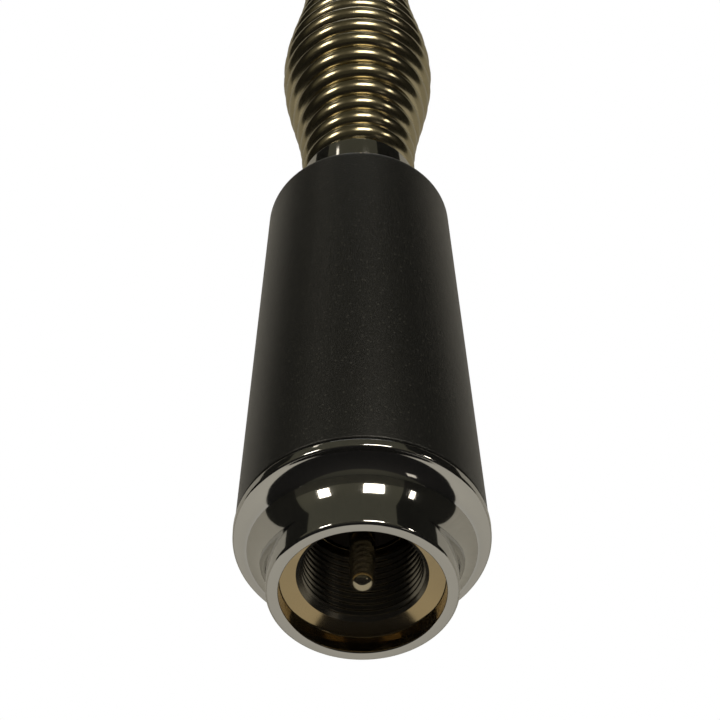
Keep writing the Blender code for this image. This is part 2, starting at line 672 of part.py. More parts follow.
def build_holder(upper_bend):
    """The whip holder: boss, collar, taper and neck, with the whip's bore and two screw holes."""
    boss_bottom = HOLDER_BOTTOM - BOSS_LENGTH
    collar = SPRING_END_RADIUS
    neck_bottom = HOLDER_SHOULDER + HOLDER_TAPER
    profile = [
        (0.0, HOLDER_SHOULDER),
        (WHIP_BORE_RADIUS, HOLDER_SHOULDER),
        (WHIP_BORE_RADIUS, HOLDER_TOP),
        (HOLDER_NECK_RADIUS - HOLDER_CHAMFER, HOLDER_TOP),
        (HOLDER_NECK_RADIUS, HOLDER_TOP - HOLDER_CHAMFER),
        (HOLDER_NECK_RADIUS, neck_bottom),
        (collar, HOLDER_SHOULDER),
        (collar, HOLDER_BOTTOM + COLLAR_CHAMFER),
        (collar - COLLAR_CHAMFER, HOLDER_BOTTOM),
        (BOSS_RADIUS, HOLDER_BOTTOM),
        (BOSS_RADIUS, boss_bottom + BOSS_CHAMFER),
        (BOSS_RADIUS - BOSS_CHAMFER, boss_bottom),
        (BRAID_HOLE_RADIUS, boss_bottom),
        (BRAID_HOLE_RADIUS, boss_bottom + BRAID_POCKET),
        (0.0, boss_bottom + BRAID_POCKET),
    ]
    holder = turned("whip_holder", profile, "chrome", upper_bend, MEDIUM_STEPS)
    reach = HOLDER_NECK_RADIUS + CUT_MARGIN
    for i in range(2):
        hole = cylinder_cutter(
            f"screw_hole_{i + 1}",
            SCREW_RADIUS + SEAT_GAP,
            reach,
            (reach / 2, 0.0, screw_height(i)),
            upper_bend,
            "X",
            SMALL_STEPS,
        )
        cut(holder, hole)
    return holder


def screw_height(index):
    """Height of a grub screw's axis, counted from the top of the holder."""
    return HOLDER_TOP - SCREW_EDGE - index * SCREW_SPACING


def build_screws(upper_bend):
    """Two grub screws with hexagon sockets that clamp the whip."""
    tip = WHIP_BORE_RADIUS
    head = HOLDER_NECK_RADIUS - SCREW_RECESS
    length = head - tip
    profile = [
        (0.0, length),
        (SCREW_RADIUS - SCREW_RECESS, length),
        (SCREW_RADIUS, length - SCREW_RECESS),
        (SCREW_RADIUS, SCREW_RECESS),
        (SCREW_RADIUS - SCREW_RECESS, 0.0),
        (0.0, 0.0),
    ]
    for i in range(2):
        name = f"grub_screw_{i + 1}"
        axis = add_empty(f"{name}_axis", screw_height(i), upper_bend)
        axis.location.x = tip
        axis.rotation_euler = (0.0, math.pi / 2, 0.0)
        drawn = [(radius, height + height_of(axis)) for radius, height in profile]
        screw = turned(name, drawn, "zinc_steel", axis, SMALL_STEPS)
        socket_height = height_of(axis) + length - SCREW_SOCKET_DEPTH / 2 + SCREW_RECESS
        socket = cylinder_cutter(
            f"{name}_socket",
            SCREW_SOCKET_RADIUS,
            SCREW_SOCKET_DEPTH + 2 * SCREW_RECESS,
            (0.0, 0.0, socket_height),
            axis,
            "Z",
            6,
        )
        cut(screw, socket)


def build_whip(slide):
    """The stainless whip, thinner towards its top."""
    profile = [
        (0.0, WHIP_TOP),
        (WHIP_TOP_RADIUS, WHIP_TOP),
        (WHIP_BASE_RADIUS, WHIP_BOTTOM + WHIP_BASE_RADIUS / 2),
        (WHIP_BASE_RADIUS / 2, WHIP_BOTTOM),
        (0.0, WHIP_BOTTOM),
    ]
    return turned("whip", profile, "stainless", slide, SMALL_STEPS)


def build_tip(slide):
    """The cap on the whip's end, with a round head and a socket for the whip."""
    socket_radius = WHIP_TOP_RADIUS + SEAT_GAP
    skirt_radius = socket_radius + TIP_WALL
    bottom = WHIP_TOP + SEAT_GAP - TIP_SOCKET
    ball_centre = bottom + TIP_LENGTH - TIP_RADIUS
    meeting = math.degrees(math.asin(skirt_radius / TIP_RADIUS)) - 90
    profile = arc(0.0, ball_centre, TIP_RADIUS, 90, meeting, TIP_STEPS)
    profile[0] = (0.0, ball_centre + TIP_RADIUS)
    profile += [
        (skirt_radius, bottom),
        (socket_radius, bottom),
        (socket_radius, bottom + TIP_SOCKET),
        (0.0, bottom + TIP_SOCKET),
    ]
    return turned("whip_tip", profile, "black_cap", slide, SMALL_STEPS)


def build_antenna():
    """Builds every piece, from the plug to the tip."""
    clear_scene()
    root = add_empty("antenna", 0.0)
    lower_bend = add_empty("lower_bend", LOWER_BEND_HEIGHT, root)
    upper_bend = add_empty("upper_bend", UPPER_BEND_HEIGHT, lower_bend)
    slide = add_empty("whip_slide", WHIP_BOTTOM, upper_bend)
    build_plug(root)
    build_pin(root)
    build_insulator(root)
    build_clip(root)
    build_seal(root)
    build_sleeve(root)
    build_former(root)
    build_coil(root)
    build_fastenings(root)
    build_spring_base(root)
    build_spring(lower_bend)
    build_braid(lower_bend)
    build_holder(upper_bend)
    build_screws(upper_bend)
    build_whip(slide)
    build_tip(slide)


build_antenna()
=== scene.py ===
"""CB antenna, dressed to match its photograph.

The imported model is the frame. Every piece is drawn in millimetres round the antenna's own axis, and takes
its heights from the frame's boxes.
"""

import logging
import math
from collections.abc import Callable
from dataclasses import dataclass
from enum import Enum
from functools import partial

import bmesh
import bpy
from mathutils import Matrix, Vector


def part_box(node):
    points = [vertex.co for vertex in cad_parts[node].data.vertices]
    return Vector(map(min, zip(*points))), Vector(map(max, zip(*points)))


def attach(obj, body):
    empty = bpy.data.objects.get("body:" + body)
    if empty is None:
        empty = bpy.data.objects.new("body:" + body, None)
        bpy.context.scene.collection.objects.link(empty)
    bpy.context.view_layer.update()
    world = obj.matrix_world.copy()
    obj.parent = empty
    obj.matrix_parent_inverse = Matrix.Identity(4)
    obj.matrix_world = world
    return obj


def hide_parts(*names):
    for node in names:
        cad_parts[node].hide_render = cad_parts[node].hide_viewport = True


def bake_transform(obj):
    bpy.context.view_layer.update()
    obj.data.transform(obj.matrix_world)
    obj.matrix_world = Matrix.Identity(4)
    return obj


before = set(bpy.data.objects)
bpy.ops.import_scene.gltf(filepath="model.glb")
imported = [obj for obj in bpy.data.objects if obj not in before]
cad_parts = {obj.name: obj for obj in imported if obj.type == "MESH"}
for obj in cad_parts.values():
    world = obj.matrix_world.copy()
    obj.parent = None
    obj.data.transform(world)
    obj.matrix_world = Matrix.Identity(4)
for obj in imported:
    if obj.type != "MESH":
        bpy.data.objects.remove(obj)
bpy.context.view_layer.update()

LOG = logging.getLogger("cb_antenna")

Outline = list[tuple[float, float]]
RadiusRule = Callable[[float, float, float], float]
NodeMaker = Callable[..., bpy.types.Node]
Piece = bpy.types.Object
Socket = bpy.types.NodeSocket

MM = 0.001

# Lays a piece that was made upright down along +X
LIE_DOWN = Matrix.Rotation(math.pi / 2, 4, "Y")

# Lengths in metres under which an edge is dropped, and two corners become one
LEAST_EDGE = 1e-7
SAME_CORNER = 1e-5

# Edges that turn by more degrees than this stay crisp
CRISP_ANGLE = 38.0

# Corners that turn by fewer degrees aren't rounded, and a rounding takes at most this share of an edge
LEAST_CORNER = 20.0
MOST_OF_EDGE = 0.4

# Numbers of the Mix node's colour sockets
MIX_FIRST, MIX_SECOND, MIX_RESULT = 6, 7, 2

# No real surface is smoother, bloom is soft, and stage paint is dull
LEAST_ROUGHNESS = 0.02
SHEEN_ROUGHNESS = 0.35
STAGE_ROUGHNESS = 0.9

# Share of its width that a drawn scratch keeps along the wire, and the strands of the braid each way round
DRAWN_OUT = 0.02
BRAID_STRANDS = 8.0


# Helpers for numbers


def linear(hex_colour: str) -> tuple[float, float, float, float]:
    """Turns an sRGB hex colour into linear light.

    Args:
        hex_colour: Six hex digits after a hash sign.

    Returns:
        Red, green, blue and alpha.
    """
    channels = []
    for start in (1, 3, 5):
        value = int(hex_colour[start : start + 2], 16) / 255
        channels.append(value / 12.92 if value <= 0.04045 else ((value + 0.055) / 1.055) ** 2.4)
    return (channels[0], channels[1], channels[2], 1.0)


def per_metre(size_mm: float) -> float:
    """Returns the texture scale at which one cell is size_mm across."""
    return 1.0 / (size_mm * MM)


def heights(node: str) -> tuple[float, float]:
    """Returns the lowest and highest point of a CAD node in millimetres."""
    low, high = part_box(node)
    return low[2] / MM, high[2] / MM


def arc(centre: tuple[float, float], radius: float, start: float, end: float, steps: int) -> Outline:
    """Points of an arc in the profile plane.

    Args:
        centre: Radius and height of the arc's centre.
        radius: The arc's own radius.
        start: First angle in degrees, 0 outwards and 90 upwards.
        end: Last angle in degrees.
        steps: Number of straight steps.

    Returns:
        The points from start to end.
    """
    points = []
    for step in range(steps + 1):
        angle = math.radians(start + (end - start) * step / steps)
        points.append((centre[0] + radius * math.cos(angle), centre[1] + radius * math.sin(angle)))
    return points


def soften(outline: Outline, radius: float, steps: int = 4) -> Outline:
    """Rounds the sharp corners of a closed outline, as a deburred edge is.

    Args:
        outline: Points of (radius, height).
        radius: Rounding of each corner, less where an edge is short.
        steps: Straight steps of each rounding.

    Returns:
        The outline with its corners rounded.
    """
    softened: Outline = []
    count = len(outline)
    for index, point in enumerate(outline):
        here = Vector(point)
        to_last = Vector(outline[index - 1]) - here
        to_next = Vector(outline[(index + 1) % count]) - here
        bend = math.pi - to_last.angle(to_next, math.pi)
        on_axis = point[0] == 0.0
        if on_axis or bend < math.radians(LEAST_CORNER):
            softened.append(point)
            continue
        reach = radius * math.tan(bend / 2)
        reach = min(reach, MOST_OF_EDGE * to_last.length, MOST_OF_EDGE * to_next.length)
        first = here + to_last.normalized() * reach
        last = here + to_next.normalized() * reach
        for step in range(steps + 1):
            share = step / steps
            mixed = first * (1 - share) ** 2 + here * 2 * share * (1 - share) + last * share**2
            softened.append((mixed.x, mixed.y))
    return softened


# Finishes


def add_node(
    tree: bpy.types.NodeTree, kind: str, settings: dict | None = None, links: dict | None = None
) -> bpy.types.Node:
    """Adds a node with its settings and links.

    Args:
        tree: The tree that the node joins.
        kind: Blender's name of the node's type, without the ShaderNode that it starts with.
        settings: Values by socket name or number, or by the node's own attribute.
        links: Source sockets by the name or number of the input they feed.

    Returns:
        The new node.
    """
    made = tree.nodes.new("ShaderNode" + kind)
    for key, value in (settings or {}).items():
        if isinstance(key, int) or key in made.inputs:
            made.inputs[key].default_value = value
        else:
            setattr(made, key, value)
    for key, source in (links or {}).items():
        tree.links.new(source, made.inputs[key])
    return made


class Grain(Enum):
    """How a surface was made, which gives the pattern that the eye sees on it."""

    POLISHED = "polished"
    TURNED = "turned"
    DRAWN = "drawn"
    MOULDED = "moulded"
    WOVEN = "woven"


@dataclass(frozen=True)
class Finish:
    """One real material with the way in which its surface was made.

    The colour drifts to the second colour in soft patches. The grain moves the roughness by its spread and
    lifts the surface by its relief.
    """

    name: str
    colour: str
    second_colour: str
    grain: Grain
    grain_mm: float
    relief_mm: float
    roughness: float
    spread: float
    patch_mm: float
    metallic: float = 0.0
    ior: float = 1.5
    fleck_share: float = 0.0
    fleck_colour: str = "#8A8880"
    fleck_mm: float = 0.5
    coat: float = 0.0
    coat_roughness: float = 0.03
    sheen: float = 0.0

    def material(self) -> bpy.types.Material:
        """Returns the material, made the first time that it is asked for.

        Returns:
            The material.
        """
        found = bpy.data.materials.get(self.name)
        if found:
            return found
        made = bpy.data.materials.new(self.name)
        made.use_nodes = True
        tree = made.node_tree
        shader = tree.nodes["Principled BSDF"]
        for socket, value in (
            ("Metallic", self.metallic),
            ("Coat Weight", self.coat),
            ("Coat Roughness", self.coat_roughness),
            ("Sheen Weight", self.sheen),
            ("Sheen Roughness", SHEEN_ROUGHNESS),
        ):
            shader.inputs[socket].default_value = value
        if self.metallic < 1.0:
            shader.inputs["IOR"].default_value = self.ior
        node = partial(add_node, tree)
        grain = self._grain(node)
        low = max(LEAST_ROUGHNESS, self.roughness - self.spread)
        high = self.roughness + self.spread
        rough = node("MapRange", {"To Min": low, "To Max": high}, {"Value": grain})
        bump = node("Bump", {"Distance": self.relief_mm * MM}, {"Height": grain})
        tree.links.new(self._colour(node), shader.inputs["Base Color"])
        tree.links.new(rough.outputs["Result"], shader.inputs["Roughness"])
        tree.links.new(bump.outputs["Normal"], shader.inputs["Normal"])
        return made

    def _colour(self, node: NodeMaker) -> Socket:
        """Mixes the two colours in soft patches, with flecks of dust where the finish has them.

        Args:
            node: Adds a node to the material's tree.

        Returns:
            The colour.
        """
        place = node("TexCoord").outputs["Object"]
        patches = node("TexNoise", {"Scale": per_metre(self.patch_mm), "Detail": 3.0}, {"Vector": place})
        both = {"data_type": "RGBA", MIX_FIRST: linear(self.colour), MIX_SECOND: linear(self.second_colour)}
        plain = node("Mix", both, {0: patches.outputs["Fac"]}).outputs[MIX_RESULT]
        if self.fleck_share == 0.0:
            return plain
        cells = node("TexVoronoi", {"Scale": per_metre(self.fleck_mm)}, {"Vector": place})
        fade = {"From Min": self.fleck_share, "From Max": 0.0}
        fleck = node("MapRange", fade, {"Value": cells.outputs["Distance"]})
        dust = {"data_type": "RGBA", MIX_SECOND: linear(self.fleck_colour)}
        return node("Mix", dust, {0: fleck.outputs["Result"], MIX_FIRST: plain}).outputs[MIX_RESULT]

    def _grain(self, node: NodeMaker) -> Socket:
        """Makes the pattern of the surface, from 0 to 1.

        Args:
            node: Adds a node to the material's tree.

        Returns:
            The pattern.
        """
        place = node("TexCoord").outputs["Object"]
        scale = per_metre(self.grain_mm)
        if self.grain in (Grain.POLISHED, Grain.MOULDED):
            return node("TexNoise", {"Scale": scale, "Detail": 4.0}, {"Vector": place}).outputs["Fac"]
        if self.grain is Grain.DRAWN:
            # Scratches run the length of the wire, so the pattern is drawn out along it
            drawn = node("Mapping", {"Scale": (1.0, 1.0, DRAWN_OUT)}, {"Vector": place}).outputs["Vector"]
            return node("TexNoise", {"Scale": scale, "Detail": 3.0}, {"Vector": drawn}).outputs["Fac"]
        split = node("SeparateXYZ", links={"Vector": place})
        if self.grain is Grain.TURNED:
            # A lathe leaves rings, so the pattern knows only the radius and the height
            flat = node("VectorMath", {"operation": "MULTIPLY", 1: (1.0, 1.0, 0.0)}, {0: place})
            radius = node("VectorMath", {"operation": "LENGTH"}, {0: flat.outputs["Vector"]})
            ring = node("CombineXYZ", links={"X": radius.outputs["Value"], "Y": split.outputs["Z"]})
            rings = {"Vector": ring.outputs["Vector"]}
            return node("TexNoise", {"Scale": scale, "Detail": 2.0}, rings).outputs["Fac"]
        # Two sets of strands wind round the braid in opposite directions
        turn = node("Math", {"operation": "ARCTAN2"}, {0: split.outputs["Y"], 1: split.outputs["X"]})
        strands = []
        for hand in (1.0, -1.0):
            climb = {"operation": "MULTIPLY", 1: hand * math.tau * scale}
            rise = node("Math", climb, {0: split.outputs["Z"]}).outputs[0]
            wind = {"operation": "MULTIPLY_ADD", 1: BRAID_STRANDS}
            strand = node("Math", wind, {0: turn.outputs[0], 2: rise}).outputs[0]
            strands.append(node("Math", {"operation": "SINE"}, {0: strand}).outputs[0])
        over = node("Math", {"operation": "MAXIMUM"}, {0: strands[0], 1: strands[1]})
        return node("MapRange", {"From Min": -1.0}, {"Value": over.outputs[0]}).outputs["Result"]


# Bright chromium over turned brass: mirror gloss, its only grain a faint haze
CHROME = Finish(
    "chrome_plate_polished", "#C5C5C3", "#BEBDBA", Grain.POLISHED,
    grain_mm=0.35, relief_mm=0.0004, roughness=0.075, spread=0.03, patch_mm=9.0, metallic=1.0,
)

# Nickel over brass inside the mouth, where the chromium is thin: warm, with tool rings under dried oil
MOUTH = Finish(
    "nickel_brass_turned_mouth", "#BAA781", "#AC9A77", Grain.TURNED,
    grain_mm=0.22, relief_mm=0.001, roughness=0.1, spread=0.04, patch_mm=6.0, metallic=1.0,
    coat=0.8, coat_roughness=0.7,
)

# The same metal in the cut thread: duller on the flanks and with more oil, its colour darker than the
# mouth's as painted shade deep in the bore
THREAD = Finish(
    "nickel_brass_cut_thread_painted_shade", "#817C70", "#6F6B62", Grain.TURNED,
    grain_mm=0.25, relief_mm=0.001, roughness=0.24, spread=0.06, patch_mm=4.0, metallic=1.0,
    coat=1.0, coat_roughness=0.7,
)

# Nickel-plated pin: soft gloss, pale gold
PIN = Finish(
    "nickel_brass_turned_pin", "#BFB59B", "#B1A78E", Grain.TURNED,
    grain_mm=0.2, relief_mm=0.0006, roughness=0.1, spread=0.03, patch_mm=3.0, metallic=1.0,
    coat=0.8, coat_roughness=0.7,
)

# Black ABS moulded in a spark-eroded tool: a fine matt grain, with dust in it and a bloom at its edges.
# Real spark texture is about 0.1 mm, drawn here at 0.25 mm, as coarse as it needs to show
SLEEVE = Finish(
    "abs_moulded_spark_black", "#0B0C0A", "#080907", Grain.MOULDED,
    grain_mm=0.25, relief_mm=0.045, roughness=0.37, spread=0.1, patch_mm=14.0, ior=1.46,
    fleck_share=0.22, fleck_colour="#33332E", fleck_mm=0.9, sheen=0.08,
)

# Spring steel under thin dark chromium: deep brown-grey that flashes warm on the crests
SPRING = Finish(
    "spring_steel_dark_chrome", "#B8AE90", "#A79E82", Grain.POLISHED,
    grain_mm=0.6, relief_mm=0.0003, roughness=0.2, spread=0.03, patch_mm=5.0, metallic=1.0,
)

# Phenolic resin, moulded: dark brown and half glossy
INSULATOR = Finish(
    "phenolic_moulded_brown", "#2C2622", "#221D1A", Grain.MOULDED,
    grain_mm=0.4, relief_mm=0.004, roughness=0.4, spread=0.08, patch_mm=3.0, ior=1.6,
)

# Nylon bobbin: ivory, moulded
FORMER = Finish(
    "nylon_moulded_ivory", "#D8D3C0", "#C8C2AC", Grain.MOULDED,
    grain_mm=0.6, relief_mm=0.01, roughness=0.42, spread=0.08, patch_mm=8.0, ior=1.53,
)

# Enamelled copper wire: deep orange under clear varnish
COPPER = Finish(
    "copper_drawn_enamelled", "#B4632F", "#9A4F24", Grain.DRAWN,
    grain_mm=0.25, relief_mm=0.002, roughness=0.3, spread=0.06, patch_mm=6.0, metallic=1.0, coat=0.8,
)

# Tinned copper braid: pale woven strands, 1.2 mm to a crossing
BRAID = Finish(
    "tinned_copper_woven", "#B9B2A2", "#9A9180", Grain.WOVEN,
    grain_mm=1.2, relief_mm=0.08, roughness=0.38, spread=0.1, patch_mm=2.5, metallic=1.0,
)

# Zinc-plated steel: bluish, with a satin bloom
ZINC = Finish(
    "zinc_plated_steel_turned", "#A9ADB0", "#989DA2", Grain.TURNED,
    grain_mm=0.2, relief_mm=0.004, roughness=0.32, spread=0.08, patch_mm=2.0, metallic=1.0,
)

# Stainless rod, drawn and ground: fine lines along its length
STAINLESS = Finish(
    "stainless_steel_drawn", "#B8B7B2", "#A9A8A3", Grain.DRAWN,
    grain_mm=0.15, relief_mm=0.003, roughness=0.24, spread=0.07, patch_mm=12.0, metallic=1.0,
)

# Nitrile rubber: dull black, moulded
RUBBER = Finish(
    "nitrile_rubber_moulded", "#1C1C1B", "#161615", Grain.MOULDED,
    grain_mm=0.4, relief_mm=0.02, roughness=0.75, spread=0.08, patch_mm=4.0, ior=1.52,
)

# Black nylon cap: satin, moulded
CAP = Finish(
    "nylon_moulded_black", "#1A1A1A", "#141414", Grain.MOULDED,
    grain_mm=0.5, relief_mm=0.01, roughness=0.38, spread=0.06, patch_mm=5.0, ior=1.53,
)


# Meshes


def add_to_scene(thing: Piece) -> Piece:
    """Links an object to the scene and returns it."""
    bpy.context.scene.collection.objects.link(thing)
    return thing


def finished(name: str, shape: bmesh.types.BMesh) -> bpy.types.Mesh:
    """Turns a shape into a mesh of that name and frees it.

    Args:
        name: The mesh's name.
        shape: The shape, which can't be used afterwards.

    Returns:
        The mesh.
    """
    mesh = bpy.data.meshes.new(name)
    shape.to_mesh(mesh)
    shape.free()
    return mesh


def new_piece(name: str, mesh: bpy.types.Mesh, finish: Finish) -> Piece:
    """Adds a smooth piece with its finish to the scene.

    Args:
        name: The piece's name.
        mesh: Its mesh, in metres.
        finish: Its finish.

    Returns:
        The new object.
    """
    piece = add_to_scene(bpy.data.objects.new(name, mesh))
    mesh.materials.append(finish.material())
    mesh.shade_smooth()
    mesh.set_sharp_from_angle(angle=math.radians(CRISP_ANGLE))
    return piece


def turned(
    name: str,
    outline: Outline,
    finish: Finish,
    segments: int = 128,
    radius_rule: RadiusRule | None = None,
) -> Piece:
    """Turns an outline round the antenna's axis.

    Args:
        name: The piece's name.
        outline: Points of (radius, height) in millimetres. It stays open where both ends lie on the axis.
        finish: Its finish.
        segments: Steps round the axis.
        radius_rule: Gives the radius for (radius, height, angle), for a thread or a socket.

    Returns:
        The new object.
    """
    shape = bmesh.new()
    rings = []
    for radius, height in outline:
        if radius == 0.0:
            rings.append([shape.verts.new((0.0, 0.0, height * MM))] * segments)
            continue
        ring = []
        for segment in range(segments):
            angle = math.tau * segment / segments
            reach = (radius_rule(radius, height, angle) if radius_rule else radius) * MM
            ring.append(shape.verts.new((reach * math.cos(angle), reach * math.sin(angle), height * MM)))
        rings.append(ring)
    is_open = outline[0][0] == 0.0 and outline[-1][0] == 0.0
    for index in range(len(rings) - (1 if is_open else 0)):
        upper, lower = rings[index], rings[(index + 1) % len(rings)]
        for segment in range(segments):
            after = (segment + 1) % segments
            corners = []
            for vertex in (upper[segment], upper[after], lower[after], lower[segment]):
                if vertex not in corners:
                    corners.append(vertex)
            if len(corners) > 2:
                shape.faces.new(corners)
    bmesh.ops.recalc_face_normals(shape, faces=shape.faces)
    return new_piece(name, finished(name, shape), finish)


def wound(
    name: str,
    path: list[Vector],
    stretch: tuple[int, int],
    radius: float,
    finish: Finish,
    limits: tuple[float, float],
    sides: int = 24,
) -> Piece:
    """Sweeps a round wire along one stretch of a path that winds about the axis.

    Args:
        name: The piece's name.
        path: Points of the whole wire's centre, in millimetres.
        stretch: Index of the first and last point of this piece.
        radius: The wire's radius.
        finish: Its finish.
        limits: Lowest and highest height, where the ends are ground flat.
        sides: Steps round the wire.

    Returns:
        The new object.
    """
    shape = bmesh.new()
    rings = []
    for index in range(stretch[0], stretch[1] + 1):
        point = path[index]
        along = (path[min(index + 1, len(path) - 1)] - path[max(index - 1, 0)]).normalized()
        outward = Vector((point.x, point.y, 0.0)).normalized()
        side = along.cross(outward).normalized()
        outward = side.cross(along).normalized()
        ring = []
        for step in range(sides):
            angle = math.tau * step / sides
            place = point + outward * (radius * math.cos(angle)) + side * (radius * math.sin(angle))
            place.z = min(max(place.z, limits[0]), limits[1])
            ring.append(shape.verts.new(place * MM))
        rings.append(ring)
    for upper, lower in zip(rings, rings[1:]):
        for step in range(sides):
            after = (step + 1) % sides
            shape.faces.new((upper[step], upper[after], lower[after], lower[step]))
    shape.faces.new(rings[0])
    shape.faces.new(rings[-1])
    bmesh.ops.recalc_face_normals(shape, faces=shape.faces)
    return new_piece(name, finished(name, shape), finish)


def keep(node: str, finish: Finish) -> None:
    """Gives a CAD node that stays as it is its finish.

    Args:
        node: The node's name.
        finish: Its finish.
    """
    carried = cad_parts[node]
    carried.data.materials.clear()
    carried.data.materials.append(finish.material())
    LOG.info("%s keeps its own shape, in %s", node, finish.name)


# Sub-assemblies


@dataclass
class CoaxialPlug:
    """The turned plug with its thread, its pin and the bush between them. Sizes are millimetres."""

    thread_minor: float = 7.5
    thread_height: float = 0.5
    thread_pitch: float = 25.4 / 24
    thread_depth: float = 14.0
    thread_rows: int = 12
    thread_segments: int = 144
    thread_flat: float = 0.25
    thread_flank: float = 0.625
    countersink: float = 8.25
    ledge_radius: float = 10.4
    ledge_depth: float = 2.6
    ledge_rise: float = 0.55
    edge_rounding: float = 0.25
    cup_radius: float = 12.0
    cup_straight: float = 3.6
    rim_rounding: float = 0.45
    flange_face: float = 9.0
    flange_thickness: float = 1.5
    flange_rounding: float = 0.3
    flange_chamfer: float = 0.25
    cove_steps: int = 28
    lip_radius: float = 6.3
    lip_height: float = 1.2
    chamber_radius: float = 8.3
    pin_radius: float = 1.65
    pin_tip: float = 1.5
    bush_shoulder: float = 1.5
    bush_rounding: float = 0.3
    clearance: float = 0.3
    spigot_gap: float = 0.4
    hair: float = 0.1

    def build(self) -> list[Piece]:
        """Builds the plug, the pin and the bush, and returns them."""
        return [self._body(), self._thread(), self._pin(), self._bush()]

    def _thread(self) -> Piece:
        """The right-hand thread of the bore, with flats, 60 degree flanks and a countersunk mouth.

        Returns:
            The new object.
        """
        low, high = self.ledge_depth + self.ledge_rise, self.thread_depth
        rows, segments = self.thread_rows, self.thread_segments
        turns = math.ceil((high - low) / self.thread_pitch) + 2
        shape = bmesh.new()
        lines = []
        for row in range(turns * rows + 1):
            wave = 1.0 - abs(2 * (row % rows) / rows - 1.0)
            cut = min(max((wave - self.thread_flat) / self.thread_flank, 0.0), 1.0)
            line = []
            for segment in range(segments):
                angle = math.tau * segment / segments
                height = low + self.thread_pitch * (row / rows + segment / segments - 1.0)
                height = min(max(height, low), high)
                cone = self.countersink - (height - low)
                radius = max(self.thread_minor + self.thread_height * cut, cone)
                place = (radius * math.cos(angle) * MM, radius * math.sin(angle) * MM, height * MM)
                line.append(shape.verts.new(place))
            lines.append(line)
        for row, (lower, upper) in enumerate(zip(lines, lines[1:])):
            for left in range(segments - 1):
                shape.faces.new((lower[left], lower[left + 1], upper[left + 1], upper[left]))
            if row + 1 + rows < len(lines):
                shape.faces.new((lower[-1], lines[row + rows][0], lines[row + 1 + rows][0], upper[-1]))
        bmesh.ops.dissolve_degenerate(shape, edges=shape.edges, dist=LEAST_EDGE)
        for face in shape.faces:
            middle = face.calc_center_median()
            if face.normal.dot(Vector((middle.x, middle.y, 0.0))) > 0.0:
                face.normal_flip()
        piece = new_piece("thread", finished("thread", shape), THREAD)
        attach(piece, "base")
        return piece

    def _body(self) -> Piece:
        """The plug in one turned piece, chromed outside and duller in its mouth.

        Returns:
            The new object.
        """
        bottom, top = heights("plug_body")
        flange_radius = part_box("plug_body")[1][0] / MM
        spigot_radius = self.cup_radius + self.spigot_gap
        cove_outer = flange_radius - self.flange_rounding
        flange_top = self.flange_face + self.flange_thickness
        outline: Outline = [
            (self.chamber_radius, top),
            (spigot_radius, top),
            (spigot_radius, flange_top),
            (flange_radius - self.flange_chamfer, flange_top),
            (flange_radius, flange_top - self.flange_chamfer),
        ]
        edge = (cove_outer, self.flange_face + self.flange_rounding)
        outline += arc(edge, self.flange_rounding, 0, -90, steps=12)
        for step in range(1, self.cove_steps + 1):
            angle = math.pi / 2 * step / self.cove_steps
            outline.append(
                (
                    cove_outer - (cove_outer - self.cup_radius) * math.sin(angle),
                    self.cup_straight + (self.flange_face - self.cup_straight) * math.cos(angle),
                )
            )
        rim = (self.cup_radius - self.rim_rounding, self.rim_rounding)
        outline += arc(rim, self.rim_rounding, 0, -90, steps=8)
        thread_bottom = self.ledge_depth + self.ledge_rise
        mouth = [
            (self.ledge_radius, bottom),
            (self.ledge_radius, self.ledge_depth),
            (self.countersink, thread_bottom),
            (self.chamber_radius, thread_bottom + self.hair),
            (self.chamber_radius, self.thread_depth),
            (self.lip_radius, self.thread_depth),
            (self.lip_radius, self.thread_depth + self.lip_height),
            (self.chamber_radius, self.thread_depth + self.lip_height),
        ]
        piece = turned("plug", soften(outline + mouth, self.edge_rounding), CHROME, segments=160)
        piece.data.materials.append(MOUTH.material())
        for face in piece.data.polygons:
            near_axis = face.center.xy.length < (self.ledge_radius + self.hair) * MM
            face.material_index = 1 if near_axis and face.center.z > self.hair * MM else 0
        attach(piece, "base")
        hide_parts("plug_body")
        return piece

    def _pin(self) -> Piece:
        """The contact pin, with a domed tip.

        Returns:
            The new object.
        """
        bottom, top = heights("centre_pin")
        outline: Outline = [(0.0, top), (self.pin_radius, top)]
        dome = (self.pin_radius - self.pin_tip, bottom + self.pin_tip)
        outline += arc(dome, self.pin_tip, 0, -90, steps=12)[:-1]
        outline.append((0.0, bottom))
        piece = turned("pin", outline, PIN, segments=64)
        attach(piece, "base")
        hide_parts("centre_pin")
        return piece

    def _bush(self) -> Piece:
        """The insulating bush, with a fine edge round the pin.

        Returns:
            The new object.
        """
        bottom, top = heights("pin_insulator")
        shoulder = bottom + self.bush_shoulder
        bore = self.pin_radius + self.clearance
        wide, narrow = self.chamber_radius - self.clearance, self.lip_radius - self.clearance
        outline = soften(
            [
                (bore, top),
                (wide, top),
                (wide, shoulder),
                (narrow, shoulder),
                (narrow, bottom),
                (bore, bottom),
            ],
            self.bush_rounding,
        )
        piece = turned("bush", outline, INSULATOR, segments=96)
        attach(piece, "base")
        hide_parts("pin_insulator")
        return piece


